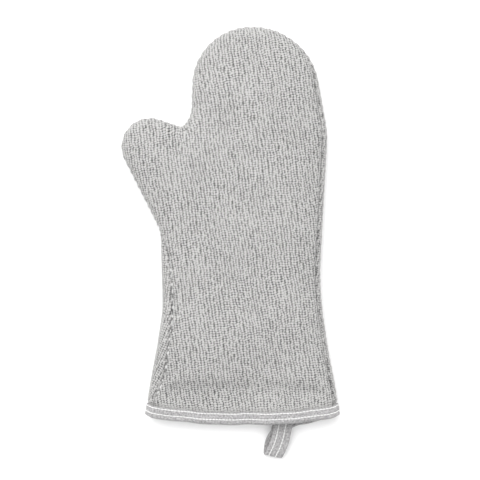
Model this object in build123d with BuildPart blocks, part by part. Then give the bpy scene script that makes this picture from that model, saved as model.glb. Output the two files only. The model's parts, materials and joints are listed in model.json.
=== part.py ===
from build123d import *
import math
import os

# A padded terry oven mitt, lying flat on its back with the thumb on the left.
# Each wall is three layers of cloth: a terry shell, a batting and a thin cotton lining.
# A tape binds the cut edges round the cuff's mouth, and the same tape makes the hanging loop.
# The fingers, the thumb and the loop fold on hinges, where the real cloth bends.
# The origin is on the table, on the cuff's centre line, just above the binding.
# +Y runs to the fingertips and +Z up, through the two walls.

# ---- Driving dimensions, in millimetres and degrees ----

# Outline seen from above, measured from the cuff's centre line
cuff_width = 184.0            # corner to corner across the flat mouth
cuff_level = -15.0            # the corners of the mouth
fingertip_level = 354.0
wrist_right = 73.7            # narrowest place on the little finger's side
wrist_right_level = 105.0
wrist_left = 76.8             # narrowest place below the thumb
wrist_left_level = 86.0
wrist_bend = 300.0            # radius of the long hollow of the wrist, right
wrist_left_bend = 90.0
knuckle_right = 81.8          # widest place beside the knuckles
knuckle_level = 252.0
knuckle_bend = 87.0
finger_right = 64.0           # sides of the finger end, carried up to its top
finger_left = 44.5
finger_flat = 2.0             # straight stretch between the finger end's two rounds
hand_left = 49.8              # edge of the hand just above the crotch
hand_left_level = 269.0
hand_left_bend = 24.0
crotch_left = 57.8            # bottom of the notch between thumb and hand
crotch_level = 259.4
crotch_round = 4.5
thumb_upper_slope = 18.0      # rise of the thumb's upper edge, in degrees
thumb_lower_slope = 63.5      # lean of the thumb's lower edge, in degrees
thumb_root_left = 78.8        # where the lower edge meets the wrist
thumb_root_level = 158.0
thumb_root_bend = 40.0
thumb_round = 28.0            # radius of the thumb's tip
front_sag = 9.5               # how far the front lip bows out past the corners
back_sag = 13.5               # the same for the back lip, which shows beyond it

# Layers of each wall
height = 24.0                 # both walls with the hand space between them
edge_flat = 1.0               # upright stretch of each wall's edge, beside the seam
shell_thickness = 2.8
batting_thickness = 3.4
lining_thickness = 0.8
seam_allowance = 8.0          # width of each overlocked seam, laid along the wall
seam_thickness = 1.6
seam_clearance = 0.2          # between the seams and the layers beside them

# Binding round the mouth
binding_width = 11.0
tape_thickness = 1.0
thread_width = 0.7
thread_depth = 0.5
upper_row = 9.6               # stitch rows, measured from the lip
lower_row = 3.9

# Folds: the cloth bends along these lines
fold_gap = 0.4                # space left between the solids of two bodies
finger_fold_rise = 22.0       # finger fold above the crotch
thumb_fold_offset = 14.0      # thumb fold beyond the crotch
thumb_fold_lean = 19.4        # lean of the thumb fold from +Y, in degrees

# Hanging loop
loop_width = 17.0
loop_tape = 1.5               # two layers of the binding tape, stitched together
loop_centre = 35.0            # middle of the loop at its hinge
loop_length = 25.5            # from its hinge to the outside of its end
loop_lean = 12.0              # away from straight out of the cuff, in degrees
loop_end_radius = 5.5         # outside of the round end
loop_pinch = 0.1              # air between the two legs at the root
loop_eye_start = 6.0          # where the two legs part, from the hinge
loop_hinge_clearance = 4.0    # hinge beyond the back lip
loop_row_spacing = 6.4        # between its two rows of stitches
tail_length = 11.0            # sewn-down tails inside the mouth
tail_clearance = 0.4          # from the ends of the tails to the loop
bar_tack_width = 2.0
bar_tack_height = 0.6
bar_tack_inset = 4.0          # from the ends of the tails to the tack

# ---- Worked out from them ----

middle = height / 2
edge_radius = middle - edge_flat
open_end = cuff_level - 60.0  # the forms run past the mouth and are cut there
beyond = 400.0                # larger than the mitt, for cutting blocks
batting_inset = shell_thickness
lining_inset = shell_thickness + batting_thickness
hollow_inset = lining_inset + lining_thickness
fold_level = crotch_level + finger_fold_rise
thumb_lean = math.radians(thumb_fold_lean)
seam_half = seam_allowance / 2

os.makedirs("parts", exist_ok=True)


def write(part, name):
    """Labels one finished piece and writes its file."""
    part.label = name
    export_step(part, f"parts/{name}.step")


def carry_on(start, through, level):
    """The point at a level on the straight line from one point through another."""
    share = (level - start[1]) / (through[1] - start[1])
    return (start[0] + share * (through[0] - start[0]), level)


def largest_round(before, corner, after, reach):
    """The radius that rounds a corner and starts a given distance before it."""
    turn = (Vector(corner) - Vector(before)).get_angle(Vector(after) - Vector(corner))
    return reach / math.tan(math.radians(turn / 2))


def bow_radius(sag):
    """Radius of the lip's arc between the two corners of the cuff."""
    return ((cuff_width / 2) ** 2 + sag**2) / (2 * sag)


def thumb_corner():
    """Where the thumb's two straight edges would meet, past its rounded tip."""
    upper = math.radians(180 - thumb_upper_slope)
    lower = math.radians(180 - thumb_lower_slope)
    across = crotch_left - thumb_root_left
    along = crotch_level - thumb_root_level
    turn = math.sin(lower - upper)
    reach = (-across * math.sin(lower) - along * math.cos(lower)) / -turn
    return (
        -crotch_left + reach * math.cos(upper),
        crotch_level + reach * math.sin(upper),
    )


def moved_in(corners, rounds, inset):
    """The corners and rounds of an outline that lies a distance inside the given one."""
    new_corners = []
    new_rounds = []
    for number, corner in enumerate(corners):
        arrive = (Vector(corner) - Vector(corners[number - 1])).normalized()
        leave = (Vector(corners[(number + 1) % len(corners)]) - Vector(corner)).normalized()
        inward = Vector(-arrive.Y, arrive.X) + Vector(-leave.Y, leave.X)
        shift = inward * (inset / (1 + arrive.dot(leave)))
        new_corners.append((corner[0] + shift.X, corner[1] + shift.Y))
        bulges = arrive.cross(leave).Z > 0
        change = -inset if bulges else inset
        new_rounds.append(rounds[number] + change if rounds[number] else 0)
    return new_corners, new_rounds


def pouch(inset):
    """The closed form of the mitt, shrunk evenly, with a plain open end past the mouth."""
    wrist_r = (wrist_right, wrist_right_level)
    wrist_l = (-wrist_left, wrist_left_level)
    knuckle = (knuckle_right, knuckle_level)
    tip_right = (finger_right, fingertip_level)
    tip_left = (-finger_left, fingertip_level)
    hand = (-hand_left, hand_left_level)
    tip_reach = (finger_right + finger_left - finger_flat) / 2
    corners = [
        carry_on(wrist_r, (cuff_width / 2, cuff_level), open_end),
        wrist_r,
        knuckle,
        tip_right,
        tip_left,
        hand,
        (-crotch_left, crotch_level),
        thumb_corner(),
        (-thumb_root_left, thumb_root_level),
        wrist_l,
        carry_on(wrist_l, (-cuff_width / 2, cuff_level), open_end),
    ]
    rounds = [
        0,
        wrist_bend,
        knuckle_bend,
        largest_round(knuckle, tip_right, tip_left, tip_reach),
        largest_round(tip_right, tip_left, hand, tip_reach),
        hand_left_bend,
        crotch_round,
        thumb_round,
        thumb_root_bend,
        wrist_left_bend,
        0,
    ]
    corners, rounds = moved_in(corners, rounds, inset)
    with BuildPart() as form:
        with BuildSketch(Plane.XY.offset(middle)):
            with BuildLine():
                FilletPolyline(*corners, radius=rounds, close=True)
            make_face()
        extrude(amount=middle - inset, both=True)
        rims = form.edges().group_by(Axis.Z)[-1] + form.edges().group_by(Axis.Z)[0]
        rims = rims.filter_by(lambda rim: rim.center().Y > open_end + inset + 1)
        fillet(rims, edge_radius - inset)
    return form.part


def mouth(up):
    """Everything above the two bowed lips, with their edges moved up by a distance."""
    with BuildPart() as block:
        for sag, way in [(front_sag, height), (back_sag, -height)]:
            with BuildSketch(Plane.XY.offset(middle)):
                with Locations((0, cuff_level - sag + bow_radius(sag) + up)):
                    Circle(bow_radius(sag))
            extrude(amount=way)
    return block.part


def section_block(section, low, high):
    """The block that holds one section of the mitt: palm, fingers or thumb."""
    along = Vector(math.sin(thumb_lean), math.cos(thumb_lean))
    left = Vector(-along.Y, along.X)
    crotch = Vector(-crotch_left, crotch_level)
    fold = crotch + left * thumb_fold_offset
    with BuildPart() as block:
        with BuildSketch(Plane.XY.offset(low)):
            if section == "fingers":
                with Locations((0, fold_level + fold_gap / 2)):
                    Rectangle(2 * beyond, beyond, align=(Align.CENTER, Align.MIN))
            else:
                with Locations((0, fold_level - fold_gap / 2)):
                    Rectangle(2 * beyond, beyond, align=(Align.CENTER, Align.MAX))
            thumb_side = {"thumb": 1, "palm": -1, "fingers": 0}[section]
            if thumb_side:
                edge = fold + left * (thumb_side * fold_gap / 2)
                reach = left * (thumb_side * 2 * beyond)
                ends = [edge - along * beyond, edge + along * beyond]
                with BuildLine():
                    Polyline(*ends, ends[1] + reach, ends[0] + reach, close=True)
                make_face(mode=Mode.INTERSECT)
        extrude(amount=high - low)
    return block.part


forms = {}
for inset in [
    0,
    tape_thickness,
    batting_inset,
    batting_inset + seam_thickness,
    lining_inset - seam_thickness,
    lining_inset,
    hollow_inset,
    hollow_inset + tape_thickness,
]:
    forms[inset] = pouch(inset)

sides = {"front": (middle, height), "back": (0, middle)}
sections = ["palm", "fingers", "thumb"]


def layer_piece(name, section, outer, inner, low, high):
    """One section of one layer of one wall, ending just inside the binding's fold."""
    with BuildPart() as piece:
        add(forms[outer])
        add(forms[inner], mode=Mode.SUBTRACT)
        add(section_block(section, low, high), mode=Mode.INTERSECT)
        if section == "palm":
            add(mouth(tape_thickness), mode=Mode.INTERSECT)
            add(binding.part, mode=Mode.SUBTRACT)
            for row in rows:
                add(row, mode=Mode.SUBTRACT)
    write(piece.part, name)


# ---- Binding: one tape folded over all the layers round the mouth, with two rows of stitches ----

rows = []
for name, level in [("upper", upper_row), ("lower", lower_row)]:
    with BuildPart() as stitches:
        add(forms[0])
        add(pouch(thread_depth), mode=Mode.SUBTRACT)
        add(mouth(level - thread_width / 2), mode=Mode.INTERSECT)
        add(mouth(level + thread_width / 2), mode=Mode.SUBTRACT)
    rows.append(stitches.part)
    write(stitches.part, f"binding_stitch_{name}")

with BuildPart() as binding:
    add(forms[0])
    add(forms[tape_thickness], mode=Mode.SUBTRACT)
    with BuildPart(mode=Mode.PRIVATE) as inner_leaf:
        add(forms[hollow_inset])
        add(forms[hollow_inset + tape_thickness], mode=Mode.SUBTRACT)
    add(inner_leaf.part)
    add(mouth(binding_width), mode=Mode.SUBTRACT)
    with BuildPart(mode=Mode.PRIVATE) as lip_fold:
        add(forms[0])
        add(forms[hollow_inset + tape_thickness], mode=Mode.SUBTRACT)
        add(mouth(tape_thickness), mode=Mode.SUBTRACT)
    add(lip_fold.part)
    add(mouth(0), mode=Mode.INTERSECT)
    for row in rows:
        add(row, mode=Mode.SUBTRACT)
write(binding.part, "cuff_binding")


# ---- Terry shell, batting and lining: a front and a back panel each ----

for side, (low, high) in sides.items():
    pad_low = low + seam_half + seam_clearance if side == "front" else low
    pad_high = high - seam_half - seam_clearance if side == "back" else high
    panels = {
        "shell": (0, batting_inset, low, high),
        "batting": (batting_inset, lining_inset, pad_low, pad_high),
        "lining": (lining_inset, hollow_inset, low, high),
    }
    for layer, sizes in panels.items():
        for section in sections:
            layer_piece(f"{layer}_{side}_{section}", section, *sizes)


# ---- Seams: the overlocked edges of the shell and of the lining, turned to the inside ----

seams = {
    "shell_seam": (batting_inset, batting_inset + seam_thickness),
    "lining_seam": (lining_inset - seam_thickness, lining_inset),
}
for seam, (outer, inner) in seams.items():
    for section in sections:
        seam_name = f"{seam}_{section}"
        layer_piece(seam_name, section, outer, inner, middle - seam_half, middle + seam_half)


# ---- Hanging loop: a folded tape that swings on its root, just outside the back lip ----

lean = math.radians(loop_lean)
loop_out = Vector(-math.sin(lean), -math.cos(lean))
loop_axis = Vector(-math.cos(lean), math.sin(lean))
root_radius = loop_tape + loop_pinch
leaf_top = hollow_inset + tape_thickness
bow = bow_radius(back_sag)
back_lip = cuff_level - back_sag + bow - math.sqrt(bow**2 - loop_centre**2)
hinge = Vector(loop_centre, back_lip - loop_hinge_clearance, leaf_top + loop_tape)
end_centre = (loop_length - loop_end_radius, loop_end_radius - hinge.Z)
end_distance = math.hypot(*end_centre)
eye_start = tuple(share * loop_eye_start / end_distance for share in end_centre)


def loop_plane(across):
    """The plane of the loop's side view, moved along its hinge."""
    return Plane(hinge + loop_axis * across, x_dir=loop_out, z_dir=loop_axis)


def loop_form(across, width, shrink):
    """The closed outer form of the loop: a pinched root and a round end on the table."""
    with BuildPart() as form:
        with BuildSketch(loop_plane(across)):
            Circle(root_radius - shrink)
            with Locations(end_centre):
                Circle(loop_end_radius - shrink)
            make_hull()
        extrude(amount=width / 2, both=True)
    return form.part


loop_rows = []
for name, across in [("left", loop_row_spacing / 2), ("right", -loop_row_spacing / 2)]:
    with BuildPart() as loop_stitches:
        add(loop_form(across, thread_width, 0))
        add(loop_form(across, thread_width, thread_depth), mode=Mode.SUBTRACT)
    loop_rows.append(loop_stitches.part)
    write(loop_stitches.part, f"loop_stitch_{name}")

with BuildPart() as loop:
    add(loop_form(0, loop_width, 0))
    with BuildSketch(loop_plane(0)):
        with Locations(eye_start):
            Circle(loop_pinch)
        with Locations(end_centre):
            Circle(loop_end_radius - loop_tape)
        make_hull()
    extrude(amount=loop_width / 2, both=True, mode=Mode.SUBTRACT)
    for row in loop_rows:
        add(row, mode=Mode.SUBTRACT)
write(loop.part, "hanging_loop")

with BuildPart() as tails:
    with BuildSketch(Plane(hinge - Vector(0, 0, loop_tape), x_dir=loop_out, z_dir=(0, 0, 1))):
        with Locations((-root_radius - tail_clearance, 0)):
            Rectangle(tail_length, loop_width, align=(Align.MAX, Align.CENTER))
    extrude(amount=2 * loop_tape)
write(tails.part, "loop_tails")

with BuildPart() as tack:
    with BuildSketch(Plane(hinge + Vector(0, 0, loop_tape), x_dir=loop_out, z_dir=(0, 0, 1))):
        with Locations((-root_radius - tail_clearance - tail_length + bar_tack_inset, 0)):
            RectangleRounded(bar_tack_width, loop_row_spacing * 2, bar_tack_width / 3)
    extrude(amount=bar_tack_height)
write(tack.part, "loop_bar_tack")

print("fingers fold about X at", fold_level, height)
print("loop swings about", loop_axis, "at", hinge)
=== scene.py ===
import json
import math

import bmesh
import bpy
import numpy as np
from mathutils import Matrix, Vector
from mathutils.geometry import delaunay_2d_cdt
from mathutils.kdtree import KDTree

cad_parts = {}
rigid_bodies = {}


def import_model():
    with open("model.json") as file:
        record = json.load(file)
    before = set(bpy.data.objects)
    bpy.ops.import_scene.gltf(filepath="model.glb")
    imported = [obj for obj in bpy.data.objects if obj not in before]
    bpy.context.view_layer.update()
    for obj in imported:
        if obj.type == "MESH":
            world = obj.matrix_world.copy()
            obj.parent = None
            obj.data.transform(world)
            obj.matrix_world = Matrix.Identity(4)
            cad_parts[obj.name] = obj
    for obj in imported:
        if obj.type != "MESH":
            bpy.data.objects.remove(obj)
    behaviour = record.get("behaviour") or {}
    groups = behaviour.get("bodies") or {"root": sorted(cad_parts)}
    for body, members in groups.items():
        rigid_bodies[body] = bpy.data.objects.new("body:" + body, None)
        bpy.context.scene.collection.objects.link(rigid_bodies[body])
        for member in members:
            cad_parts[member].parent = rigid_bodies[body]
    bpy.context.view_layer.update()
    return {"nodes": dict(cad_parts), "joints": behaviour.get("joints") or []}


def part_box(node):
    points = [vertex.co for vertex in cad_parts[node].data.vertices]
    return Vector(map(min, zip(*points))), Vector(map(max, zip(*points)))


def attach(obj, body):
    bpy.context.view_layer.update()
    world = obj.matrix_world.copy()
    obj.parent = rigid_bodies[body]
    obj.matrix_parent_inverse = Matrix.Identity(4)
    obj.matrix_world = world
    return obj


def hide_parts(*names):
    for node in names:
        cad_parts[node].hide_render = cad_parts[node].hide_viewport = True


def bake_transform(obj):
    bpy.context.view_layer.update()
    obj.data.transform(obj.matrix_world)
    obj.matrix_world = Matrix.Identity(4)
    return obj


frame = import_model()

# ---- The cut pattern ----
# Every layer of the mitt is cut from one outline, so it is read once, from the solid shell. Its rim is
# where the flat of the wall turns down into the rounded edge. A layer is laid out flat against the rim,
# and then wrapped round the edge by how far it reaches past the rim.

shell_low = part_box("shell_back_palm")[0]
shell_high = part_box("shell_front_palm")[1]
middle = (shell_low.z + shell_high.z) / 2
half = (shell_high.z - shell_low.z) / 2
RIM_STEP = 0.001
PAST_MOUTH = 0.06            # the rim is carried this far out past the cuff
FOLD_REACH = 0.001           # edges this near a fold line are cuts, not rim
CROTCH_ROOM = 12 / 18.28     # in the crotch the round edge is laid out narrower than it is
CROTCH_SPREAD = (0.020, 0.036)   # from the crotch, along the rim: all of it, none of it


def flat_rim():
    """The rim as plan points, from the cuff's right side round the fingers to its left side."""
    uses = {}
    rounded = set()
    for node in ("shell_front_palm", "shell_front_fingers", "shell_front_thumb"):
        mesh = frame["nodes"][node].data
        mesh.calc_loop_triangles()
        for face in mesh.loop_triangles:
            keys = [tuple(round(c, 6) for c in mesh.vertices[v].co) for v in face.vertices]
            if all(abs(key[2] - shell_high.z) < 1e-5 for key in keys):
                for number in range(3):
                    edge = frozenset((keys[number], keys[number - 1]))
                    uses[edge] = uses.get(edge, 0) + 1
            elif face.normal.z > 0.3:
                rounded.update(keys)
    ends = np.array([tuple(e) for e, count in uses.items() if count == 1 and e <= rounded])[:, :, :2]
    for joint in frame["joints"]:
        if joint["name"] in ("finger_fold", "thumb_fold"):
            way = np.array(joint["axis"])[:2]
            off = (ends - np.array(joint["pos_m"])[:2]) @ np.array([-way[1], way[0]])
            ends = ends[(np.abs(off) > FOLD_REACH).any(axis=1)]
    start = ends.reshape(-1, 2)[ends.reshape(-1, 2)[:, 0] > 0]
    line = [start[start[:, 1].argmin()]]
    while len(ends):
        gaps = np.linalg.norm(ends - line[-1], axis=2)
        piece, end = np.unravel_index(gaps.argmin(), gaps.shape)
        line += [ends[piece, end], ends[piece, 1 - end]]
        ends = np.delete(ends, piece, axis=0)
    line = evenly(np.array(line), RIM_STEP)
    for at, inner in ((0, 20), (-1, -21)):
        way = line[at] - line[inner]
        tip = line[at] + way / np.linalg.norm(way) * PAST_MOUTH
        line = np.vstack([tip, line]) if at == 0 else np.vstack([line, tip])
    return evenly(line, RIM_STEP)


def evenly(line, step):
    """A line's points again, about one step apart."""
    gaps = np.linalg.norm(np.diff(line, axis=0), axis=1)
    line = line[np.concatenate([[True], gaps > 1e-7])]
    along = np.concatenate([[0], np.cumsum(np.linalg.norm(np.diff(line, axis=0), axis=1))])
    at = np.linspace(0, along[-1], int(along[-1] / step) + 1)
    return np.stack([np.interp(at, along, line[:, k]) for k in range(line.shape[1])], axis=1)


def smoothstep(low, high, value):
    t = np.clip((value - low) / (high - low), 0, 1)
    return t * t * (3 - 2 * t)


rim = flat_rim()
rim_way = np.gradient(rim, axis=0)
for _ in range(4):
    rim_way[1:-1] = (rim_way[:-2] + rim_way[1:-1] * 2 + rim_way[2:]) / 4
rim_way /= np.linalg.norm(rim_way, axis=1)[:, None]
rim_out = np.stack([rim_way[:, 1], -rim_way[:, 0]], axis=1)
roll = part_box("shell_front_fingers")[1].y - rim[:, 1].max()      # radius of the rounded edge
edge_flat = half - roll
quarter = math.pi / 2 * roll
edge_way = 2 * quarter + 2 * edge_flat                           # cloth from rim to rim, round the edge

turning = np.zeros(len(rim))
turning[1:-1] = rim_way[:-2, 0] * rim_way[2:, 1] - rim_way[:-2, 1] * rim_way[2:, 0]
tight = np.flatnonzero(turning < turning.min() / 2)
crotch_at = int(tight.mean())
crotch = rim[crotch_at] + rim_out[crotch_at] * roll
from_crotch = np.abs(np.arange(len(rim)) - crotch_at) * RIM_STEP
rim_room = 1 - (1 - CROTCH_ROOM) * (1 - smoothstep(*CROTCH_SPREAD, from_crotch))

folds = {joint["name"]: joint for joint in frame["joints"]}
thumb_way = np.array(folds["thumb_fold"]["axis"])[:2]
thumb_left = np.array([-thumb_way[1], thumb_way[0]])


def on_rim(points):
    """For plan points: where along the rim each belongs, the rim there, its way out, and how far out."""
    coarse = rim[::4]
    near = np.empty(len(points), int)
    for low in range(0, len(points), 20000):
        part = points[low:low + 20000]
        far = (part[:, None, 0] - coarse[None, :, 0]) ** 2 + (part[:, None, 1] - coarse[None, :, 1]) ** 2
        near[low:low + 20000] = far.argmin(axis=1) * 4
    window = np.clip(near[:, None] + np.arange(-5, 6)[None, :], 1, len(rim) - 2)
    far = ((points[:, None, :] - rim[window]) ** 2).sum(axis=2)
    near = window[np.arange(len(points)), far.argmin(axis=1)]
    step = ((points - rim[near]) * rim_way[near]).sum(axis=1) / RIM_STEP
    at = near + np.clip(step, -0.7, 0.7)
    index = np.arange(len(rim))
    place = np.stack([np.interp(at, index, rim[:, k]) for k in (0, 1)], axis=1)
    out = np.stack([np.interp(at, index, rim_out[:, k]) for k in (0, 1)], axis=1)
    out /= np.linalg.norm(out, axis=1)[:, None]
    return at, place, out, ((points - place) * out).sum(axis=1)


def wrap(points, depth, side):
    """Flat pattern points wrapped round the edge, a depth below the mitt's skin: places and ways out."""
    at, place, out, past = on_rim(points)
    past = past / np.interp(at, np.arange(len(rim)), rim_room)
    turn = np.clip(past / roll, 0, math.pi / 2)
    turn += np.clip((past - quarter - 2 * edge_flat) / roll, 0, math.pi / 2)
    upright = np.clip(past - quarter, 0, 2 * edge_flat)
    over = np.maximum(past - edge_way, 0)
    reach = (roll - depth) * np.sin(turn) - over
    plan = np.where((past > 0)[:, None], place + out * reach[:, None], points)
    fall = (roll - depth) * (1 - np.cos(turn)) + upright
    way = np.column_stack([out * np.sin(turn)[:, None], side * np.cos(turn)])
    height = middle + side * (half - depth - fall)
    return np.column_stack([plan, height]), way


# ---- Seam line and mouth ----
# The side seam lies at the edge, except where it has rolled onto the front: a little along the right
# side, and by up to 12 mm along the lower left. The mouth is cut to two bowed lips, front and back.

rim_x, rim_y = rim[:, 0], rim[:, 1]
ROLLED_LEFT = [(-0.06, 5), (-0.001, 5), (0.008, 8.5), (0.017, 11.3), (0.03, 12), (0.055, 10.9), (0.1, 9.5),
               (0.135, 7), (0.158, 0)]                            # height up the mitt, mm in from the edge
ROLLED_RIGHT = [(-0.06, 3.4), (0.1, 3.6), (0.29, 3.6), (0.335, 0)]
left_in = np.interp(rim_y, *zip(*ROLLED_LEFT)) / 1000
right_in = np.interp(rim_y, *zip(*ROLLED_RIGHT)) / 1000
seam_in = np.where(rim_x > 0, right_in, np.where(rim_y < 0.16, left_in, 0))
seam_in = np.convolve(np.pad(seam_in, 6, mode="edge"), np.ones(13) / 13, "valid")
seam_over = roll - seam_in
front_edge = np.where(seam_over > 0, roll * np.arcsin(np.clip(seam_over, 0, roll) / roll)
                      + edge_flat * seam_over / roll, seam_over)
panel_edge = {1: front_edge, -1: edge_way - front_edge}

CUFF_CORNER = -0.015                      # height of the lips' two ends, at the cuff's sides
CUFF_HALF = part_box("cuff_binding")[1].x
SAG = {1: 0.0086, -1: 0.0102}
LOOP_PUSH = [(0.0050, 0.043, 0.0075), (0.0026, 0.061, 0.012)]    # the loop pushes the back lip out


def lip_level(across, side):
    """How far up the mitt the lip lies, for places across the flat pattern."""
    about = CUFF_CORNER - 0.004
    place, _ = wrap(np.column_stack([across, np.full(len(across), about)]), 0, side)
    share = np.clip(1 - (place[:, 0] / CUFF_HALF) ** 2, 0, 1) ** 0.7
    upper = place[:, 2] > middle
    level = CUFF_CORNER - share * np.where(upper, SAG[1], SAG[-1])
    ripple = 0.00035 * np.sin(place[:, 0] * 95 + 1.1) + 0.00025 * np.sin(place[:, 0] * 210 + 0.4)
    push = sum(deep * np.exp(-((place[:, 0] - x) / wide) ** 2) for deep, x, wide in LOOP_PUSH)
    return level + ripple * share - np.where(upper, 0, push) + about - place[:, 1]


def seam_line(side, inset=0.0):
    """The panel's edge on the flat pattern, from the right of the mouth round to its left."""
    return rim + rim_out * ((panel_edge[side] - inset) * rim_room)[:, None]


def mouth_ends(side):
    """Where the seam meets the lip on each side of the flat pattern: rim numbers and places across."""
    line = seam_line(side)
    inside = np.flatnonzero(line[:, 1] > lip_level(line[:, 0], side))
    return inside[0], inside[-1], line[inside[0], 0], line[inside[-1], 0]


# ---- Laying out a panel ----
# A panel's points follow the cloth's own grain, which leans a little and wanders as knitted cloth does.
# The line from the crotch down past the thumb parts the hand from the thumb, and both share its points.

LEAN = math.radians(8.5)
grain_up = np.array([-math.sin(LEAN), math.cos(LEAN)])
grain_across = np.array([math.cos(LEAN), math.sin(LEAN)])
CUT_LONG = 0.14              # the thumb line, longer than it needs to be
CUT_SURE = 0.030             # and inside the panel for this far
WANDER = [(0.00055, 61, 23, 0.3), (0.0004, -38, 84, 2.1), (0.0003, 120, 51, 4.0)]    # far, tilts, start


def wander(points, start):
    """How far the cloth's grain strays at each point, across and along it."""
    across = sum(far * np.sin(a * points[:, 0] + b * points[:, 1] + c + start) for far, a, b, c in WANDER)
    along = sum(far * np.cos(b * points[:, 0] - a * points[:, 1] + 2 * c + start) for far, a, b, c in WANDER)
    return np.column_stack([across, along])


def lay_out(side, across, along, inset=0.0, lip_up=0.0012):
    """One panel flat: points, triangles, which are the thumb's, place in the weave, way to edge and lip."""
    first, last, right, left = mouth_ends(side)
    seam = seam_line(side, inset)[first:last + 1]
    lip_x = np.linspace(left, right, int((right - left) / across / 1.6))
    lip = np.column_stack([lip_x, lip_level(lip_x, side) + lip_up])
    seam = seam[(seam[:, 1] > lip_level(seam[:, 0], side) + lip_up + across / 2)]
    seam = evenly(seam, max(along, 0.001))
    border = np.vstack([seam, lip])
    cut_top = rim[crotch_at] + rim_out[crotch_at] * (panel_edge[side][crotch_at] - inset) * CROTCH_ROOM
    cut = [cut_top, rim[crotch_at], rim[crotch_at] - thumb_way * CUT_LONG]
    cut = evenly(np.array(cut), max(along, 0.001))[1:]
    at, _, _, past = on_rim(cut)
    room = np.interp(at, np.arange(len(rim)), (panel_edge[side] - inset) * rim_room)
    left_side = np.arange(len(cut)) > CUT_SURE / max(along, 0.001)
    outside = np.flatnonzero(left_side & (past > room - across * 0.6))
    cut = cut[:outside[0]]
    seam_start = seam[np.linalg.norm(seam - cut_top, axis=1).argmin()]
    seam_end = seam[np.linalg.norm(seam - cut[-1], axis=1).argmin()]
    start_at = int(np.linalg.norm(border - seam_start, axis=1).argmin())
    end_at = int(np.linalg.norm(border - seam_end, axis=1).argmin())

    low, high = border.min(axis=0) - 0.002, border.max(axis=0) + 0.002
    corners = np.array([[x, y] for x in (low[0], high[0]) for y in (low[1], high[1])])
    span_a, span_b = corners @ grain_across, corners @ grain_up
    a = np.arange(math.floor(span_a.min() / across), math.ceil(span_a.max() / across) + 1)
    b = np.arange(math.floor(span_b.min() / along), math.ceil(span_b.max() / along) + 1)
    a, b = np.meshgrid(a, b, indexing="ij")
    a, b = a.ravel() * across, (b.ravel() + 0.5 * (a.ravel() % 2)) * along
    start = 0 if side > 0 else 1.7
    weave = np.column_stack([a, b])
    points = a[:, None] * grain_across + b[:, None] * grain_up
    stray = wander(points, start)
    points = points + stray[:, :1] * grain_across + stray[:, 1:] * grain_up
    keep = ((points > low) & (points < high)).all(axis=1)
    points, weave = points[keep], weave[keep]
    at, _, _, past = on_rim(points)
    room = np.interp(at, np.arange(len(rim)), (panel_edge[side] - inset) * rim_room)
    lowest = lip_level(points[:, 0], side) + lip_up + along * 0.5
    keep = (past < room - across * 0.55) & (points[:, 1] > lowest)
    off = (points - rim[crotch_at]) @ thumb_left
    keep &= ~((np.abs(off) < across * 0.5) & (points[:, 1] < crotch[1]) & (points[:, 1] > cut[-1][1] - 0.004))
    points, weave = points[keep], weave[keep]

    rest = np.vstack([border, cut])
    plain = np.column_stack([rest @ grain_across, rest @ grain_up])
    weave = np.vstack([plain - wander(rest, start), weave])
    points = np.vstack([rest, points])
    count = len(border)
    edges = [(k, (k + 1) % count) for k in range(count)]
    edges += [(k, k + 1) for k in range(count, count + len(cut) - 1)]
    edges += [(start_at, count), (count + len(cut) - 1, end_at)]
    made = delaunay_2d_cdt([Vector(p) for p in points], edges, [], 1, 1e-7)
    source = np.array([ids[0] if ids else -1 for ids in made[3]])
    flat = np.array([tuple(v) for v in made[0]])
    triangles = np.array([f for f in made[2] if len(f) == 3])
    woven = np.where((source >= 0)[:, None], weave[source], np.column_stack([flat @ grain_across,
                     flat @ grain_up]))
    centres = flat[triangles].mean(axis=1)
    at = on_rim(centres)[0]
    foot_at = on_rim(cut[-1:])[0][0]
    in_thumb = ((centres - rim[crotch_at]) @ thumb_left > 0) & (at > crotch_at) & (at < foot_at + 1.5)
    in_thumb &= centres[:, 1] > cut[-1][1] - 0.03
    at, _, _, past = on_rim(flat)
    to_edge = (np.interp(at, np.arange(len(rim)), panel_edge[side])
               - past / np.interp(at, np.arange(len(rim)), rim_room))
    up = flat[:, 1] - lip_level(flat[:, 0], side)
    return {"flat": flat, "triangles": triangles, "thumb": in_thumb, "weave": woven, "to_edge": to_edge,
            "up": up, "at": at, "side": side}


# ---- How the mitt has filled out ----
# Sewn, turned and stuffed, the mitt isn't flat: it swells over the batting, dents softly, and puckers
# where its seams draw in. A coarse closed form of it is blown up a little as cloth, held at the cuff,
# and every layer then moves as that form moved, so that no layer passes through the next.

COARSE = 0.0055              # the form's grain
PRESSURE = 4.0
FRAMES = 20
MOST_UP = 0.0042             # cap on how far the cloth may rise
SIDEWAYS = 0.35              # share of its sideways motion that is kept
SLACK = 0.0042               # how far the front lip sinks
SLACK_AT = -0.030            # where across the mouth it sinks most,
SLACK_HALF = 0.062           # how far to each side,
SLACK_LONG = 0.070           # and how far up the mitt
# Each dent: height, place, half its length and width, and how far its length is turned.
DENTS = [(0.0011, 0.010, 0.062, 0.030, 0.016, 35), (-0.0010, 0.034, 0.034, 0.034, 0.012, 40),
         (-0.0009, -0.022, 0.092, 0.036, 0.014, 38), (0.0010, -0.040, 0.030, 0.030, 0.012, 50),
         (-0.0008, 0.040, 0.150, 0.040, 0.018, 60), (0.0007, -0.010, 0.200, 0.045, 0.020, 20),
         (-0.0007, 0.020, 0.262, 0.050, 0.014, 8), (0.0008, -0.078, 0.236, 0.022, 0.012, 70)]


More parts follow.
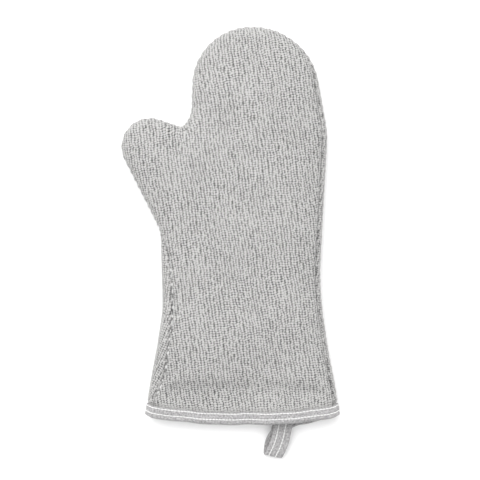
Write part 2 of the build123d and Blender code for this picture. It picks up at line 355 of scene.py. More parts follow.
def build(name, points, faces, ways=None):
    """A mesh object from arrays, smooth, with its own outward directions if they are given."""
    mesh = bpy.data.meshes.new(name)
    faces = faces.tolist() if isinstance(faces, np.ndarray) else faces
    mesh.from_pydata(np.asarray(points).tolist(), [], faces)
    mesh.shade_smooth()
    if ways is not None:
        mesh.normals_split_custom_set_from_vertices(np.asarray(ways).tolist())
    piece = bpy.data.objects.new(name, mesh)
    bpy.context.scene.collection.objects.link(piece)
    return piece


def places_of(piece):
    flat = np.empty(len(piece.data.vertices) * 3)
    piece.data.vertices.foreach_get("co", flat)
    return flat.reshape(-1, 3)


coarse_at, coarse_faces, coarse_count = [], [], 0
for side in (1, -1):
    form = lay_out(side, COARSE, COARSE, lip_up=0.0)
    coarse_at.append(wrap(form["flat"], 0.0015, side)[0])
    coarse_faces.append(form["triangles"][:, ::side] + coarse_count)
    coarse_count += len(form["flat"])
coarse_at = np.vstack(coarse_at)
blown = build("mitt_form", coarse_at, np.vstack(coarse_faces))
shape = bmesh.new()
shape.from_mesh(blown.data)
bmesh.ops.remove_doubles(shape, verts=shape.verts, dist=0.0016)
bmesh.ops.holes_fill(shape, edges=[e for e in shape.edges if e.is_boundary])
bmesh.ops.triangulate(shape, faces=[f for f in shape.faces if len(f.verts) > 4])
bmesh.ops.recalc_face_normals(shape, faces=shape.faces)
shape.to_mesh(blown.data)
shape.free()
start_at = places_of(blown)
moved_by = np.zeros_like(start_at)
held = blown.vertex_groups.new(name="held")
for number, y in enumerate(start_at[:, 1]):
    held.add([number], float(1 - smoothstep(-0.006, 0.022, y)), "REPLACE")
cloth = blown.modifiers.new("cloth", "CLOTH")
cloth.settings.quality = 6
cloth.settings.mass = 0.3
cloth.settings.tension_stiffness = 25
cloth.settings.compression_stiffness = 25
cloth.settings.shear_stiffness = 12
cloth.settings.bending_stiffness = 3
cloth.settings.use_pressure = True
cloth.settings.uniform_pressure_force = PRESSURE
cloth.settings.effector_weights.gravity = 0
cloth.settings.vertex_group_mass = "held"
cloth.collision_settings.use_collision = False
cloth.point_cache.frame_start = 1
cloth.point_cache.frame_end = FRAMES
for number in range(1, FRAMES + 1):
    bpy.context.scene.frame_set(number)
grown = blown.evaluated_get(bpy.context.evaluated_depsgraph_get())
grown_at = np.array([v.co for v in grown.data.vertices])
moved_by = grown_at - start_at
bpy.context.scene.frame_set(1)
bpy.data.objects.remove(blown)
length = np.linalg.norm(moved_by, axis=1)[:, None]
moved_by *= np.minimum(1, MOST_UP / np.maximum(length, 1e-9))
moved_by[:, :2] *= SIDEWAYS
finder = KDTree(len(start_at))
for number, point in enumerate(start_at):
    finder.insert(point, number)
finder.balance()


def filled_out(places):
    """Places on the plain wrapped form, moved as the filled mitt moved."""
    moved = np.empty_like(places)
    for number, place in enumerate(places.tolist()):
        near = finder.find_n(place, 5)
        share = np.array([1 / (gap + 0.0006) ** 2 for _, _, gap in near])
        share /= share.sum()
        moved[number] = share @ moved_by[[k for _, k, _ in near]]
    upper = places[:, 2] > middle
    slack = np.clip(1 - ((places[:, 0] - SLACK_AT) / SLACK_HALF) ** 2, 0, 1)
    slack *= 1 - smoothstep(0.0, SLACK_LONG, places[:, 1])
    slack *= smoothstep(middle, middle + 0.004, places[:, 2])
    moved[:, 2] -= slack * (SLACK + 0.0006 * np.sin(places[:, 0] * 75 + 1))
    for high, x, y, long, wide, turned in DENTS:
        c, s = math.cos(math.radians(turned)), math.sin(math.radians(turned))
        dx, dy = places[:, 0] - x, places[:, 1] - y
        bump = np.exp(-((dx * c + dy * s) / long) ** 2 - ((dy * c - dx * s) / wide) ** 2)
        moved[:, 2] += np.where(upper, high * bump, 0)
    under = np.clip((middle - places[:, 2]) / half, 0, 1)
    moved[:, 2] *= np.where(moved[:, 2] < 0, 1 - 0.85 * under, 1)
    return places + moved


# ---- Terry shell ----
# The outside, back and front: a ribbed, looped terry knit in grey melange yarn, cut across its ribs.
# Each rib is a row of pile loops; no two loops stand quite alike, and painted shade darkens the colour
# between them.

PITCH = 0.00289              # from rib to rib
LOOP = 0.00222               # from loop to loop along a rib
PILE = 0.0012                # how high the loops stand
BINDING_HIGH = 0.0116        # the binding covers the terry this far up from the lip
PRESSED = 0.0009             # how far the binding presses the terry in
luck = np.random.default_rng(41)
loop_luck = luck.random((256, 512))
loop_tone = luck.random((256, 512))


class Wire:
    """A value in a material's nodes. Arithmetic on it adds Math nodes; node() adds any other kind."""

    def __init__(self, tree, socket=None):
        self.tree = tree
        self.socket = socket

    def node(self, kind, settings=None, inputs=None, output=0):
        made = self.tree.nodes.new(kind)
        for key, value in (settings or {}).items():
            if key == "stops":
                for number, (at, colour) in enumerate(value):
                    stops = made.color_ramp.elements
                    stop = stops[number] if number < 2 else stops.new(at)
                    stop.position = at
                    stop.color = (*colour, 1)
            else:
                setattr(made, key, value)
        for key, value in (inputs or {}).items():
            if isinstance(value, Wire):
                self.tree.links.new(value.socket, made.inputs[key])
            else:
                made.inputs[key].default_value = value
        return Wire(self.tree, made.outputs[output] if len(made.outputs) else None)

    def maths(self, operation, *values):
        return self.node("ShaderNodeMath", {"operation": operation}, dict(enumerate(values)))

    def __add__(self, other):
        return self.maths("ADD", self, other)

    def __radd__(self, other):
        return self.maths("ADD", other, self)

    def __sub__(self, other):
        return self.maths("SUBTRACT", self, other)

    def __rsub__(self, other):
        return self.maths("SUBTRACT", other, self)

    def __mul__(self, other):
        return self.maths("MULTIPLY", self, other)

    def __rmul__(self, other):
        return self.maths("MULTIPLY", other, self)

    def __truediv__(self, other):
        return self.maths("DIVIDE", self, other)

    def __pow__(self, other):
        return self.maths("POWER", self, other)

    def kept(self):
        """Clamped to 0 to 1."""
        return self.node("ShaderNodeClamp", None, {"Value": self})

    def stored(self, name, output="Fac"):
        return self.node("ShaderNodeAttribute", {"attribute_name": name}, None, output)

    def noise(self, where, scale, detail=2.0, rough=0.5):
        return self.node("ShaderNodeTexNoise", None, {"Vector": where, "Scale": scale, "Detail": detail,
                                                      "Roughness": rough}, "Fac")

    def mixed(self, share, first, second):
        """Two colours mixed."""
        return self.node("ShaderNodeMix", {"data_type": "RGBA"}, {0: share, 6: first, 7: second}, 2)

    def surface(self, settings, colour, rough, height=None, strength=1.0, distance=0.001):
        """The cloth's own shader and the material's output."""
        inputs = dict(settings)
        inputs["Base Color"] = colour
        inputs["Roughness"] = rough
        if height is not None:
            inputs["Normal"] = self.node("ShaderNodeBump", None, {"Height": height, "Strength": strength,
                                                                  "Distance": distance})
        shader = self.node("ShaderNodeBsdfPrincipled", None, inputs)
        self.node("ShaderNodeOutputMaterial", None, {"Surface": shader})


def finish_named(name):
    """A new, empty material and a wire into its nodes."""
    material = bpy.data.materials.new(name)
    material.use_nodes = True
    material.node_tree.nodes.clear()
    return material, Wire(material.node_tree)


def store(piece, **values):
    """Keeps values on a piece's points, where its material reads them."""
    for name, value in values.items():
        vector = np.ndim(value) > 1
        kept = piece.data.attributes.new(name, "FLOAT_VECTOR" if vector else "FLOAT", "POINT")
        kept.data.foreach_set("vector" if vector else "value", np.asarray(value, np.float32).ravel())


def pile_at(weave, start):
    """Height of the pile from 0 to 1 and the yarn's tone, for places in the weave."""
    across, along = weave[:, 0] / PITCH, weave[:, 1]
    across = (across + 0.07 * np.sin(along / 0.0019 + across * 0.9)
              + 0.06 * np.sin(along / 0.0047 + across * 2.3))
    rib = np.round(across).astype(int)
    slip = np.mod(rib * 0.5, 1) + 0.16 * np.sin(along / 0.009 + rib * 1.7) + 0.12 * np.sin(rib * 4.1)
    step = along / LOOP + slip
    number = np.floor(step).astype(int)
    luck_here = loop_luck[rib % 256, (number + start) % 512]
    tone_here = loop_tone[rib % 256, (number + start) % 512]
    crown = 0.5 + 0.5 * np.cos(2 * math.pi * (across - rib + 0.26 * (tone_here - 0.5)))
    bead = np.sin(math.pi * (step - number)) ** 0.9
    height = np.clip(1 - 0.53 * (1 - crown) - 0.66 * (1 - bead), 0, 1) * (0.74 + 0.27 * luck_here)
    return np.minimum(height, 1.15), 0.55 * tone_here + 0.45 * luck_here


terry, wire = finish_named("terry_knit")
cloth_at = wire.stored("cloth", "Vector")
pile = wire.stored("pile")
tone = wire.stored("tone")
fibre = wire.noise(cloth_at, 1500, 3.0, 0.65)
curl = wire.noise(cloth_at, 900, 2.0, 0.6)
blotch = wire.noise(cloth_at, 26, 2.0, 0.55)
# The yarn's own tone and specks, darkened by the pile's depth: painted shade in the hollows between the
# loops.
depth = ((pile - 0.06) / 0.56).kept() ** 0.9
yarn_tone_and_painted_shade = (depth * 1.22 + tone * 0.10 + (curl - 0.5) * 1.30 + (fibre - 0.5) * 0.35
         + (blotch - 0.5) * 0.20 - 0.21).kept()
yarn = wire.node("ShaderNodeValToRGB", {"stops": [(0.0, (0.024, 0.024, 0.024)),
                                                  (1.0, (0.419, 0.415, 0.408)),
                                                  (0.30, (0.115, 0.114, 0.113)),
                                                  (0.62, (0.296, 0.294, 0.289))]}, {"Fac": yarn_tone_and_painted_shade})
height = curl * 0.55 + fibre * 0.45
wire.surface({"Sheen Weight": 0.25, "Sheen Roughness": 0.6, "Specular IOR Level": 0.15}, yarn,
             0.94 - depth * 0.08, height, 0.7, 0.0007)


def cloth_share(points, triangles):
    """Area of a flat panel, and its width and length."""
    a, b, c = (points[triangles[:, k]] for k in range(3))
    area = np.abs((b - a)[:, 0] * (c - a)[:, 1] - (b - a)[:, 1] * (c - a)[:, 0]).sum() / 2
    used = points[np.unique(triangles)]
    wide, long = used.max(axis=0) - used.min(axis=0)
    return float(area), (float(wide), float(long))


def part_of(places, ways, triangles, which, name, extra):
    """The piece made from some of a panel's triangles, with its stored values."""
    triangles = triangles[which]
    used, again = np.unique(triangles, return_inverse=True)
    piece = build(name, places[used], again.reshape(-1, 3), ways[used])
    store(piece, **{key: value[used] for key, value in extra.items()})
    return piece


def bend_hand(piece):
    """Bakes a hand piece's transform into its mesh."""
    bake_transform(piece)


def bend_thumb(piece):
    """Bakes a thumb piece's transform into its mesh."""
    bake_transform(piece)


PARTS = ((False, "hand", bend_hand), (True, "thumb", bend_thumb))


def outward(places, triangles):
    """Smooth outward directions of a mesh given as arrays."""
    a, b, c = (places[triangles[:, k]] for k in range(3))
    face = np.cross(b - a, c - a)
    total = np.zeros_like(places)
    for k in range(3):
        np.add.at(total, triangles[:, k], face)
    return total / np.maximum(np.linalg.norm(total, axis=1), 1e-12)[:, None]


def skin_depth(panel):
    """How far below the mitt's skin the shell's cloth lies: drawn in at its seam, pressed at the cuff."""
    edge, along = panel["to_edge"], panel["at"] * RIM_STEP
    pucker = 0.5 + 0.5 * np.sin(along / 0.0068 * 2 * math.pi + 2.2 * np.sin(along / 0.023))
    low = panel["flat"][:, 1] < 0.13
    left = panel["flat"][:, 0] < 0
    strong = np.where(left & low, 1.25, 1.0)
    groove = np.exp(-(edge / 0.0021) ** 2) * 0.0018 + np.exp(-(edge / 0.009) ** 2) * 0.0009 * pucker
    slant = np.sin((panel["flat"][:, 0] * 0.75 - panel["flat"][:, 1] * 0.66) / 0.0095 * 2 * math.pi
                   + 1.2 * np.sin(panel["flat"][:, 1] / 0.017))
    groove += np.where(left & (panel["side"] > 0), 0.00055, 0) * slant * np.exp(-(edge / 0.014) ** 2) \
        * smoothstep(0.155, 0.11, panel["flat"][:, 1])
    press = PRESSED * (1 - smoothstep(BINDING_HIGH, BINDING_HIGH + 0.0035, panel["up"]))
    return groove * strong + press


SHELL_GRAIN = (PITCH / 3, 0.0009)
for side, name in ((1, "front"), (-1, "back")):
    panel = lay_out(side, *SHELL_GRAIN)
    places, ways = wrap(panel["flat"], 0.0, side)
    loops, yarn_tone = pile_at(panel["weave"], 0 if side > 0 else 200)
    at_seam = 1 - smoothstep(0.0002, 0.0016, panel["to_edge"])
    cover = 1 - at_seam
    cover *= smoothstep(BINDING_HIGH - 0.0005, BINDING_HIGH + 0.001, panel["up"])
    cover *= 0.6 + 0.4 * smoothstep(BINDING_HIGH, BINDING_HIGH + 0.006, panel["up"])
    rise = (loops * cover * PILE - 0.4 * PILE) - skin_depth(panel)
    places = filled_out(places) + ways * rise[:, None]
    places[:, 2] = np.maximum(places[:, 2], 0.0002)
    triangles = panel["triangles"][:, ::side]
    ways = outward(places, triangles)
    weave = np.column_stack([panel["weave"], np.full(len(places), side * 0.1)])
    # Under the binding the colour's pile value is held at a middle level; at the seam edge it drops to 0.25,
    # which paints shade along the seam's groove.
    extra = {"cloth": weave, "pile": loops * cover + (0.55 - 0.30 * at_seam) * (1 - cover), "tone": yarn_tone}
    for thumb, part, bend in PARTS:
        which = panel["thumb"] == thumb
        piece = part_of(places, ways, triangles, which, f"terry_{name}_{part}", extra)
        piece.data.materials.append(terry)
        bend(piece)
        area, flat = cloth_share(panel["flat"], panel["triangles"][which])
        if thumb:
            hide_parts(f"shell_{name}_thumb")
        else:
            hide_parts(f"shell_{name}_palm", f"shell_{name}_fingers")


# ---- Batting and lining ----
# Inside each shell panel lie a pad of polyester batting and a smooth cotton lining. The batting ends
# short of the seams; the two linings are sewn into a bag of their own.

LAYER_GRAIN = 0.0032
batting, wire = finish_named("batting_fleece")
where = wire.node("ShaderNodeTexCoord", None, None, "Object")
lumps = wire.noise(where, 160, 4.0, 0.7)
hairs = wire.noise(where, 900, 3.0, 0.7)
wire.surface({"Sheen Weight": 0.4}, wire.mixed(lumps, (0.70, 0.69, 0.66, 1), (0.90, 0.89, 0.87, 1)),
             hairs * 0.1 + 0.85, lumps * 0.6 + hairs * 0.4, 0.8, 0.001)

lining, wire = finish_named("lining_cotton")
cloth_at = wire.stored("cloth", "Vector")
warp = wire.node("ShaderNodeTexWave", {"bands_direction": "X"}, {"Vector": cloth_at, "Scale": 420,
                 "Distortion": 0.8}, "Fac")
weft = wire.node("ShaderNodeTexWave", {"bands_direction": "Y"}, {"Vector": cloth_at, "Scale": 420,
                 "Distortion": 0.8}, "Fac")
slub = wire.noise(cloth_at, 300, 3.0, 0.6)
plain = (warp * 0.5 + weft * 0.5) * 0.6 + slub * 0.4
wire.surface({"Sheen Weight": 0.15, "Specular IOR Level": 0.2},
             wire.mixed(plain, (0.40, 0.40, 0.40, 1), (0.60, 0.60, 0.595, 1)),
             slub * 0.1 + 0.82, plain, 0.4, 0.0003)


def two_faced(outer, inner, triangles):
    """A closed sheet between two like nets of points."""
    count = len(outer)
    edges = np.sort(np.vstack([triangles[:, [0, 1]], triangles[:, [1, 2]], triangles[:, [2, 0]]]), axis=1)
    found, uses = np.unique(edges, axis=0, return_counts=True)
    loose = {tuple(e) for e in found[uses == 1].tolist()}
    faces = triangles.tolist() + (triangles[:, ::-1] + count).tolist()
    for a, b, c in triangles.tolist():
        for one, two in ((a, b), (b, c), (c, a)):
            if (min(one, two), max(one, two)) in loose:
                faces += [(two, one, one + count), (two, one + count, two + count)]
    return np.vstack([outer, inner]), np.array(faces)


def drop_unused(triangles):
    """Which points some triangles use, and the triangles counted in those."""
    used, again = np.unique(triangles, return_inverse=True)
    return used, again.reshape(-1, 3)


for layer, top, bottom, inset, lip_up in (("batting", 0.0031, 0.0059, 0.0026, 0.0045),
                                          ("lining", 0.0064, 0.0070, 0.0, 0.0012)):
    for side, name in ((1, "front"), (-1, "back")):
        panel = lay_out(side, LAYER_GRAIN, LAYER_GRAIN, inset, lip_up)
        nets = []
        for depth_here in (top, bottom):
            places, ways = wrap(panel["flat"], depth_here, side)
            nets.append(filled_out(places))
        for thumb, part, bend in PARTS:
            which = panel["triangles"][panel["thumb"] == thumb]
            used, again = drop_unused(which)
            points, faces = two_faced(nets[0][used], nets[1][used], again[:, ::side])
            piece = build(f"{layer}_sheet_{name}_{part}", points, faces)
            weave = np.column_stack([panel["flat"], np.zeros(len(panel["flat"]))])[used]
            store(piece, cloth=np.vstack([weave, weave]))
            piece.data.materials.append({"batting": batting, "lining": lining}[layer])
            bend(piece)
            nodes = ("thumb",) if thumb else ("palm", "fingers")
            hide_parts(*[f"{layer}_{name}_{node}" for node in nodes])
            if layer == "batting":
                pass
            else:
                a, b, c = (nets[0][which[:, k]] for k in range(3))
                area = float(np.linalg.norm(np.cross(b - a, c - a), axis=1).sum() / 2)
                _, flat = cloth_share(panel["flat"] * (1 - top), which)


# ---- Seam allowances ----
# Inside the edge the shell's two raw edges stand together, overlocked, and so do the lining's. Each is
# a narrow doubled strip that follows the side seam.

ALLOWANCE = 0.0038           # half of the strip's width
overlock, wire = finish_named("overlocked_edge")
where = wire.stored("cloth", "Vector")
thread = wire.node("ShaderNodeTexWave", {"bands_direction": "X"}, {"Vector": where, "Scale": 260,
                   "Distortion": 1.5}, "Fac")
tuft = wire.noise(where, 900, 3.0, 0.6)
wire.surface({"Sheen Weight": 0.2}, wire.mixed(thread * 0.7 + tuft * 0.3, (0.42, 0.42, 0.42, 1),
             (0.78, 0.78, 0.77, 1)), tuft * 0.1 + 0.85, thread * 0.6 + tuft * 0.4, 0.6, 0.0005)

first, last, _, _ = mouth_ends(1)
inner_at = np.arange(first + 14, last - 13)
foot = int(np.abs((rim - rim[crotch_at]) @ thumb_left + (rim_y < 0.13) + (rim_y > crotch[1] - 0.02)
                  + (rim_x > 0)).argmin())
for layer, depth_here, thick, slot in (("shell_seam", 0.0032, 0.0012, "terry"),
                                       ("lining_seam", 0.0048, 0.0010, "lining")):
    for thumb, part, bend in PARTS:
        runs = [inner_at[(inner_at >= crotch_at) & (inner_at <= foot)]] if thumb else \
            [inner_at[inner_at <= crotch_at], inner_at[inner_at >= foot]]
        points, faces, weave = [], [], []
        for run in runs:
            base, rows = len(points), 5
            for at in run:
                edge = front_edge[at]
                for row in range(rows):
                    way = rim[at] + rim_out[at] * (edge - ALLOWANCE + 2 * ALLOWANCE * row / (rows - 1)) \
                        * rim_room[at]
                    points.append(way)
                    weave.append((at * RIM_STEP, row * 0.0019, 0))
            for k in range(len(run) - 1):
                for row in range(rows - 1):
                    a = base + k * rows + row
                    faces += [(a, a + 1, a + rows + 1), (a, a + rows + 1, a + rows)]
        flat = np.array(points)
        wave = 0.00025 * np.sin(np.array(weave)[:, 0] / 0.0043 * 2 * math.pi)
        outer = filled_out(wrap(flat, depth_here + wave, 1)[0])
        inner = filled_out(wrap(flat, depth_here + thick + wave, 1)[0])
        places, faces = two_faced(outer, inner, np.array(faces))
        piece = build(f"{layer}_strip_{part}", places, faces)
        store(piece, cloth=np.array(weave + weave))
        piece.data.materials.append(overlock)
        bend(piece)
        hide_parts(*[f"{layer}_{node}" for node in (("thumb",) if thumb else ("palm", "fingers"))])


# ---- Cuff binding ----
# One bias-cut tape of soft grey jersey, folded over every raw edge round the mouth: an outer leaf, the
# fold at the lip, and an inner leaf. Two rows of stitches go through it all and draw it in.

LIP_ROUND = 0.0021           # how far the fold rounds, from the lip
LEAF_OUT = -0.0005           # how deep below the skin the outer and the inner leaf lie
LEAF_IN = 0.0080
ROWS = (0.0101, 0.0048)      # up from the lip
tape, wire = finish_named("jersey_tape")
cloth_at = wire.stored("cloth", "Vector")
knit = wire.node("ShaderNodeTexWave", {"bands_direction": "DIAGONAL"}, {"Vector": cloth_at, "Scale": 520,
                 "Distortion": 1.2, "Detail": 1.0}, "Fac")
fleck = wire.noise(cloth_at, 620, 2.0, 0.6)
mottle = wire.noise(cloth_at, 230, 3.0, 0.6)
mix = (fleck * 1.15 + mottle * 0.35 + knit * 0.12 - 0.31).kept()
tape_colour = wire.node("ShaderNodeValToRGB", {"stops": [(0.25, (0.158, 0.156, 0.157)),
                                                         (0.75, (0.454, 0.447, 0.450))]}, {"Fac": mix})
wire.surface({"Sheen Weight": 0.2, "Specular IOR Level": 0.2}, tape_colour, fleck * 0.1 + 0.82,
             knit * 0.5 + fleck * 0.5, 0.45, 0.0003)


def mouth_round(step):
    """Places round the mouth on the flat patterns: across, and on which side, front first."""
    across, sides = [], []
    for side in (1, -1):
        _, _, right, left = mouth_ends(side)
        count = int(abs(right - left) / step)
        line = np.linspace(left, right, count, endpoint=False)
        across.append(line if side > 0 else line[::-1] + (right - left) / count)
        sides.append(np.full(count, side))
    return np.concatenate(across), np.concatenate(sides)


def at_mouth(across, sides, up, depth_here):
    """Places and ways out at the mouth, a way up from the lip and a depth below the skin."""
    places = np.empty((len(across), 3))
    ways = np.empty((len(across), 3))
    up = np.broadcast_to(up, len(across))
    depth_here = np.broadcast_to(depth_here, len(across))
    for side in (1, -1):
        here = sides == side
        points = np.column_stack([across[here], lip_level(across[here], side)])
        at, _, _, past = on_rim(points)
        way = rim_way[np.rint(at).astype(int)]
        way = way * np.where(way[:, 1] < 0, -1, 1)[:, None]
        mid = smoothstep(0.0, 0.03, -past)[:, None]
        points = points + (way * (1 - mid) + np.array([0, 1]) * mid) * up[here][:, None]
        places[here], ways[here] = wrap(points, depth_here[here], side)
    return filled_out(places), ways


TAPE_STEP = 0.0009
across, sides = mouth_round(TAPE_STEP)
profile = [(BINDING_HIGH - 0.0002, 0.0012), (BINDING_HIGH, 0.0004),
           (BINDING_HIGH - 0.0001, LEAF_OUT + 0.0002)]
for up in np.linspace(BINDING_HIGH - 0.0006, LIP_ROUND, 19):
    drawn = sum(0.00042 * math.exp(-((up - row) / 0.0008) ** 2) for row in ROWS)
    profile.append((up, LEAF_OUT + drawn))
for turn in np.linspace(0, math.pi, 13)[1:-1]:
    middle_depth, reach = (LEAF_IN + LEAF_OUT) / 2, (LEAF_IN - LEAF_OUT) / 2
    profile.append((LIP_ROUND - LIP_ROUND * math.sin(turn), middle_depth - reach * math.cos(turn)))
for up in np.linspace(LIP_ROUND, BINDING_HIGH - 0.0004, 14):
    drawn = sum(0.0003 * math.exp(-((up - row) / 0.0008) ** 2) for row in ROWS)
    profile.append((up, LEAF_IN - drawn))
profile += [(BINDING_HIGH, LEAF_IN - 0.0003), (BINDING_HIGH - 0.0002, LEAF_IN - 0.0008)]
run = np.arange(len(across)) * TAPE_STEP
columns = []
for number, (up, deep) in enumerate(profile):
    pull = 0.00012 * np.sin(run / 0.0026 * 2 * math.pi) + 0.0002 * np.sin(run / 0.0137 + 0.4 * number)
    columns.append(at_mouth(across, sides, up, deep + pull * (0.4 if up < 0.001 else 1))[0])
places = np.stack(columns, axis=1)
places[:, :, 2] = np.maximum(places[:, :, 2], 0.0001)
rows, count = len(profile), len(across)
faces = []
for k in range(count):
    for row in range(rows - 1):
        a, b = k * rows + row, (k + 1) % count * rows + row
        faces.append((a, a + 1, b + 1, b))
width = np.concatenate([[0], np.cumsum([math.dist(profile[k], profile[k + 1]) for k in range(rows - 1)])])
binding = build("cuff_binding_tape", places.reshape(-1, 3), faces)
weave = np.zeros((count, rows, 3))
weave[:, :, 0] = run[:, None]
weave[:, :, 1] = width[None, :]
store(binding, cloth=weave.reshape(-1, 3))
binding.data.materials.append(tape)
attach(binding, "palm")
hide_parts("cuff_binding")

thread, wire = finish_named("white_thread")
twist = wire.stored("twist")
ply = wire.maths("SINE", twist * 6.2832)
wire.surface({"Specular IOR Level": 0.35, "Sheen Weight": 0.2},
             wire.mixed(ply * 0.5 + 0.5, (0.64, 0.64, 0.635, 1), (0.76, 0.76, 0.755, 1)), ply * 0.05 + 0.6,
             ply, 0.5, 0.0002)

STITCH = 0.0031              # from hole to hole
THREAD = 0.00054             # half of the thread's thickness
THREAD_LIFT = 0.00022        # how far the thread's middle stands above the cloth
THREAD_LOWEST = 0.00005      # the thread stays this far above the table
SIDES = 8                    # faces round a thread
SHAPE = [(-0.5, -0.0007, 0.55), (-0.42, 0.0, 0.9), (-0.2, 0.00006, 1.0), (0.0, 0.0001, 1.03),
         (0.2, 0.00006, 1.0), (0.42, 0.0, 0.9), (0.5, -0.0007, 0.55)]   # along, height, thickness


def stitch_row(name, places, ways, hold, length=STITCH, thick=THREAD):
    """Separate stitches along a line on a cloth: each rises from one hole and dips into the next."""
    gaps = np.linalg.norm(np.diff(places, axis=0), axis=1)
    along = np.concatenate([[0], np.cumsum(gaps)])
    count = int(along[-1] / length)
    points, faces, turns = [], [], []
    for number in range(count):
        base = len(points)
        for share, high, fat in SHAPE:
            at = (number + 0.5 + share * 0.97) * along[-1] / count
            here = np.array([np.interp(at, along, places[:, k]) for k in range(3)])
            near = np.array([np.interp(at + 0.0004, along, places[:, k]) for k in range(3)])
            back = np.array([np.interp(at - 0.0004, along, places[:, k]) for k in range(3)])
            way = np.array([np.interp(at, along, ways[:, k]) for k in range(3)])
            ahead = (near - back) / np.linalg.norm(near - back)
            sideways = np.cross(ahead, way)
            for k in range(SIDES):
                angle = k * 2 * math.pi / SIDES
                ring = sideways * math.cos(angle) + way * math.sin(angle) * 0.85
                points.append(here + way * (high + THREAD_LIFT) + ring * thick * fat)
                turns.append(share * 3 + k / SIDES)
        for ring in range(len(SHAPE) - 1):
            for k in range(SIDES):
                a, b = base + ring * SIDES + k, base + ring * SIDES + (k + 1) % SIDES
                faces.append((a, b, b + SIDES, a + SIDES))
        end = base + (len(SHAPE) - 1) * SIDES
        faces.append(tuple(base + k for k in range(SIDES - 1, -1, -1)))
        faces.append(tuple(end + k for k in range(SIDES)))
    points = np.array(points)
    points[:, 2] = np.maximum(points[:, 2], THREAD_LOWEST)
    piece = build(name, points, faces)
    store(piece, twist=np.array(turns))
    piece.data.materials.append(thread)
    hold(piece)
    return piece


def on_palm(piece):
    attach(piece, "palm")


for name, up in (("upper", ROWS[0]), ("lower", ROWS[1])):
    outer, ways = at_mouth(across, sides, up, LEAF_OUT + 0.0004)
    outer, ways = np.vstack([outer, outer[:1]]), np.vstack([ways, ways[:1]])
    piece = stitch_row(f"binding_stitches_{name}", outer, ways, on_palm)
    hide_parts(f"binding_stitch_{name}")
    inner, ways = at_mouth(across, sides, up, LEAF_IN - 0.0003)
    inner, ways = np.vstack([inner, inner[:1]]), np.vstack([ways, ways[:1]])
    stitch_row(f"binding_stitches_{name}_inside", inner, -ways, on_palm, thick=0.00034)


# ---- Hanging loop ----
# The same tape, folded double to 17 mm and stitched along in two rows, turned back on itself and caught
# in the mouth. Its two legs leave the cuff a little apart and fan together at the round end.

LOOP_WIDE = 0.0174
LOOP_THICK = 0.0013
LOOP_STEP = 0.0007           # from point to point along the tape
LOOP_ROWS = (-0.0041, 0.0023)    # its stitches, sideways from its middle
loop_joint = folds["loop_swing"]
hinge = np.array(loop_joint["pos_m"])
across_way = -np.array(loop_joint["axis"])
out_way = np.array([across_way[1], -across_way[0], 0.0])
END_AT = 0.0204              # the round end's middle, out from the hinge
END_ROUND = 0.0042
upper_high, end_high = 0.0011, 0.0050 - hinge[2]
TAIL = 0.0130                # how far its tails reach inside, from the hinge
path = [(-TAIL, 0.0007), (-0.008, 0.0008), (-0.004, 0.0009), (0.0, upper_high), (0.005, upper_high + 0.0002),
        (0.011, upper_high - 0.0002), (0.016, end_high + END_ROUND + 0.0006)]
for turn in np.linspace(0, math.pi, 9):
    path.append((END_AT + END_ROUND * math.sin(turn), end_high + END_ROUND * math.cos(turn)))
path += [(0.0155, end_high - END_ROUND + 0.0004), (0.0105, -0.0068), (0.0055, -0.0035), (0.002, -0.0012),
         (0.0, -0.0007), (-0.004, -0.0007), (-0.008, -0.0007), (-TAIL, -0.0007)]
path = np.array(path)
for _ in range(2):
    finer = np.empty((2 * len(path) - 1, 2))
    finer[::2] = path
    finer[1::2] = (path[:-1] + path[1:]) / 2
    finer[1:-1] = (finer[:-2] + 2 * finer[1:-1] + finer[2:]) / 4
    path = finer
path = evenly(path, LOOP_STEP)
share = np.arange(len(path)) / (len(path) - 1)
out_share = np.clip(path[:, 0] / (END_AT + END_ROUND), 0, 1)
upper_leg = share < 0.5
drift = np.where(upper_leg, 0.0009, -0.0024) * np.sin(math.pi * np.clip(out_share, 0, 1)) ** 0.8
drift += np.where(upper_leg, 0.0024, 0.0008) * (1 - out_share)
drift = np.convolve(np.pad(drift, 4, mode="edge"), np.ones(9) / 9, "valid")
bow = -0.0012 * out_share ** 2
ahead = np.gradient(path, axis=0)
ahead /= np.linalg.norm(ahead, axis=1)[:, None]
up_2d = np.column_stack([-ahead[:, 1], ahead[:, 0]])            # outward side of the loop


def bend_loop(piece):
    """Bakes a loop piece's transform into its mesh."""
    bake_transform(piece)


def on_loop(at, sideways, proud):
    """Places along the loop's tape: sideways from its middle line, proud of it towards the outside."""
    line = hinge + out_way * path[at, 0][:, None] + np.array([0, 0, 1]) * path[at, 1][:, None]
    face = out_way * up_2d[at, 0][:, None] + np.array([0, 0, 1]) * up_2d[at, 1][:, None]
    line = line + across_way * (sideways + drift[at] + bow[at])[:, None]
    return line + face * np.asarray(proud)[:, None], face


section = []
for k in np.linspace(-0.5, 0.5, 17):
    edge = 1 - abs(2 * k) ** 10
    groove = sum(0.00022 * math.exp(-((k * LOOP_WIDE - row) / 0.0007) ** 2) for row in LOOP_ROWS)
    section.append((k * LOOP_WIDE, LOOP_THICK / 2 * max(edge, 0.25) - groove))
ring = section + [(x, -y) for x, y in reversed(section)]
all_at = np.arange(len(path))
columns = []
for x, y in ring:
    wave = 0.00012 * np.sin(all_at * LOOP_STEP / 0.0027 * 2 * math.pi + x * 900)
    proud = np.full(len(path), y) + wave * (1 if y > 0 else -1)
    columns.append(on_loop(all_at, np.full(len(path), x), proud)[0])
places = np.stack(columns, axis=1)
places[:, :, 2] = np.maximum(places[:, :, 2], 0.0001)
size = len(ring)
faces = []
for k in range(len(path) - 1):
    for row in range(size):
        a, b = k * size + row, k * size + (row + 1) % size
        faces.append((a, a + size, b + size, b))
faces.append(tuple(range(size)))
faces.append(tuple((len(path) - 1) * size + k for k in range(size - 1, -1, -1)))
loop = build("hanging_loop_tape", places.reshape(-1, 3), faces)
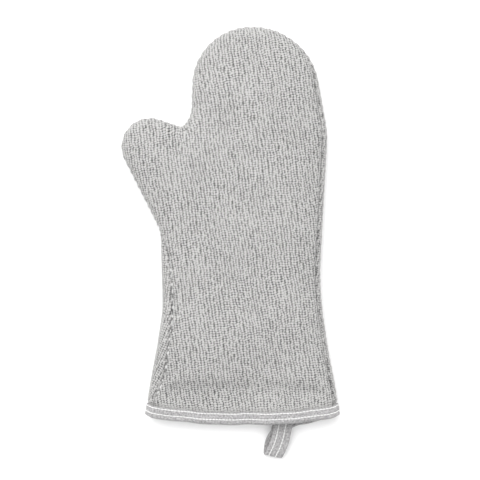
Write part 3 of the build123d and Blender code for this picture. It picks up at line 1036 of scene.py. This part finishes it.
weave = np.zeros((len(path), size, 3))
weave[:, :, 0] = (all_at * LOOP_STEP)[:, None]
weave[:, :, 1] = np.array([x for x, _ in ring])[None, :]
store(loop, cloth=weave.reshape(-1, 3))
loop.data.materials.append(tape)
bend_loop(loop)
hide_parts("hanging_loop", "loop_tails")

for name, row in zip(("left", "right"), LOOP_ROWS):
    places, ways = on_loop(all_at, np.full(len(path), row), np.full(len(path), LOOP_THICK / 2 - 0.0001))
    piece = stitch_row(f"loop_stitches_{name}", places, ways, bend_loop)
    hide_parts(f"loop_stitch_{name}")

low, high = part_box("loop_bar_tack")
tack_mid = (np.array(low) + np.array(high)) / 2
TACK_HALF = 0.0062
TACK_TURNS = 60              # it zigzags this often
steps = np.linspace(-TACK_HALF, TACK_HALF, TACK_TURNS)
tack_line = tack_mid + across_way * steps[:, None]
tack_line += out_way * (-0.0012 + 0.0006 * np.where(np.arange(TACK_TURNS) % 2, 1, -1))[:, None]
tack_line[:, 2] = low.z + 0.0001
up_ways = np.tile([0.0, 0.0, 1.0], (TACK_TURNS, 1))
tack = stitch_row("loop_bar_tack_stitches", tack_line, up_ways, on_palm, length=0.0016, thick=0.0002)
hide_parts("loop_bar_tack")


# ---- Studio ----
# A plain pale table in a room that is brightest towards its window, behind and above, with two soft
# panels, and a camera looking straight down from far enough away that nothing leans.

FIELD = 0.4548               # width of the view
CAMERA_HIGH = 1.9
table = build("table_top", [(-3, -3, 0), (3, -3, 0), (3, 3, 0), (-3, 3, 0)], [(0, 1, 2), (0, 2, 3)])
paper, wire = finish_named("pale_paper")
where = wire.node("ShaderNodeTexCoord", None, None, "Object")
grain = wire.noise(where, 40, 2.0, 0.5)
wire.surface({}, wire.mixed(grain, (0.90, 0.90, 0.90, 1), (0.93, 0.93, 0.93, 1)), grain * 0.1 + 0.8)
table.data.materials.append(paper)

world = bpy.data.worlds.new("soft_room")
bpy.context.scene.world = world
world.use_nodes = True
world.node_tree.nodes.clear()
wire = Wire(world.node_tree)
way = wire.node("ShaderNodeTexCoord", None, None, "Generated")
towards_window = wire.node("ShaderNodeVectorMath", {"operation": "DOT_PRODUCT"},
                           {0: way, 1: (-0.15, 0.76, 0.63)}, "Value")
room_light = (towards_window * 0.8 + 0.45).kept() * 0.82 + 0.56
room = wire.node("ShaderNodeBackground", None, {"Color": (1, 1, 1, 1), "Strength": room_light})
wire.node("ShaderNodeOutputWorld", None, {"Surface": room})
for name, place, size, power in (("sky_panel", (-0.32, 0.80, 1.2), 1.3, 16.0),
                                 ("fill_panel", (0.9, -0.5, 1.6), 1.4, 3.0)):
    light = bpy.data.lights.new(name, "AREA")
    light.size = size
    light.energy = power
    lamp = bpy.data.objects.new(name, light)
    lamp.location = place
    aim = Vector((0, 0.15, 0)) - Vector(place)
    lamp.rotation_euler = aim.to_track_quat("-Z", "Y").to_euler()
    bpy.context.scene.collection.objects.link(lamp)

camera = bpy.data.objects.new("camera", bpy.data.cameras.new("camera"))
camera.location = (-0.0024, 0.1509, CAMERA_HIGH)
camera.data.sensor_width = 36
camera.data.lens = 36 * (CAMERA_HIGH - half) / FIELD
camera.data.clip_start = 0.05
bpy.context.scene.collection.objects.link(camera)
bpy.context.scene.camera = camera
bpy.context.scene.view_settings.view_transform = "Standard"

for junk in [o for o in bpy.context.scene.objects if o.name in ("Cube", "Light", "Camera")]:
    bpy.data.objects.remove(junk)
